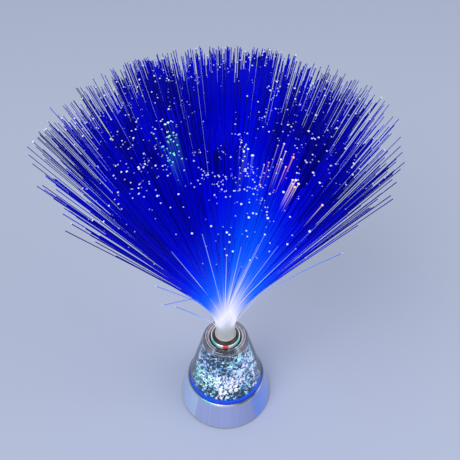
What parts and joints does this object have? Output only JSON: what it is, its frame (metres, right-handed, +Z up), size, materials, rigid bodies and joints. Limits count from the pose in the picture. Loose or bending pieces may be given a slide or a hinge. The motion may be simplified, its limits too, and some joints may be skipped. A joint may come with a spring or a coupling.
{
  "type": "fiber optic lamp",
  "caption": "Table lamp with a cone of clear crystal chips on a silver base and a fan of glowing light-carrying strands that turns and lifts out of its collar.",
  "frame": {"origin": "centre of the foot ring's underside, on the surface the lamp stands on", "axes": "+Z up along the lamp's axis, -Y towards the viewer of the picture, +X to the right"},
  "size_m": [0.2569, 0.2558, 0.3494],
  "materials": {
    "foot_rubber": "matt moulded rubber",
    "base_plate_abs": "fine moulded texture",
    "screw_steel": "zinc plated",
    "silver_lacquer": "silver lacquer, satin gloss",
    "cell_jacket": "plain printed jacket",
    "contact_metal": "nickel plated",
    "switch_plastic": "matt black moulding",
    "board_laminate": "glass laminate with green mask",
    "led_epoxy": "clear epoxy",
    "chip_resin": "black resin",
    "resistor_coat": "matt lacquer",
    "capacitor_sleeve": "shrunk sleeve",
    "red_wire": "smooth insulation",
    "black_wire": "smooth insulation",
    "diffuser_acrylic": "milky acrylic",
    "light_ring_acrylic": "polished blue acrylic, lit from below",
    "chrome_plate": "bright chrome on plastic",
    "clear_acrylic": "polished clear acrylic",
    "crystal_acrylic": "broken clear acrylic",
    "bush_plastic": "dark brown moulding",
    "ferrule_plastic": "cream moulding",
    "bundle_acrylic": "packed acrylic strands",
    "fibre_acrylic": "drawn acrylic strand, lit from its root"
  },
  "bodies": {
    "root": {"foot_ring": "foot_rubber", "base_plate": "base_plate_abs", "base_screws": "screw_steel", "base_skirt": "silver_lacquer", "battery_cells": "cell_jacket", "contact_springs": "contact_metal", "contact_plates": "contact_metal", "door_hinge_pins": "screw_steel", "switch_housing": "switch_plastic", "led_board": "board_laminate", "board_screws": "screw_steel", "fibre_leds": "led_epoxy", "crystal_leds": "led_epoxy", "controller_chip": "chip_resin", "resistors": "resistor_coat", "capacitor": "capacitor_sleeve", "positive_wire": "red_wire", "negative_wire": "black_wire", "switch_wires": "black_wire", "chamber_floor": "diffuser_acrylic", "light_ring": "light_ring_acrylic", "trim_ring": "chrome_plate", "light_tube": "clear_acrylic", "crystal_cone": "clear_acrylic", "crystal_chips": "crystal_acrylic", "collar_ring": "chrome_plate"},
    "bush": {"socket_bush": "bush_plastic"},
    "spray": {"fibre_ferrule": "ferrule_plastic", "fibre_bundle": "bundle_acrylic", "fibre_spray": "fibre_acrylic"},
    "switch": {"switch_knob": "switch_plastic"},
    "door": {"battery_door": "base_plate_abs"}
  },
  "joints": [
    {"name": "spray_swivel", "type": "hinge", "parent": "root", "child": "bush", "pos_m": [0, 0, 0.08], "axis": [0, 0, 1], "continuous": true},
    {"name": "spray_lift", "type": "slide", "parent": "bush", "child": "spray", "axis": [0, 0, 1], "range_m": [0, 0.045]},
    {"name": "power_switch", "type": "slide", "parent": "root", "child": "switch", "axis": [1, 0, 0], "range_m": [0, 0.004]},
    {"name": "battery_door_hinge", "type": "hinge", "parent": "root", "child": "door", "pos_m": [0, 0.0176, 0.0025], "axis": [1, 0, 0], "range_deg": [0, 95]}
  ]
}
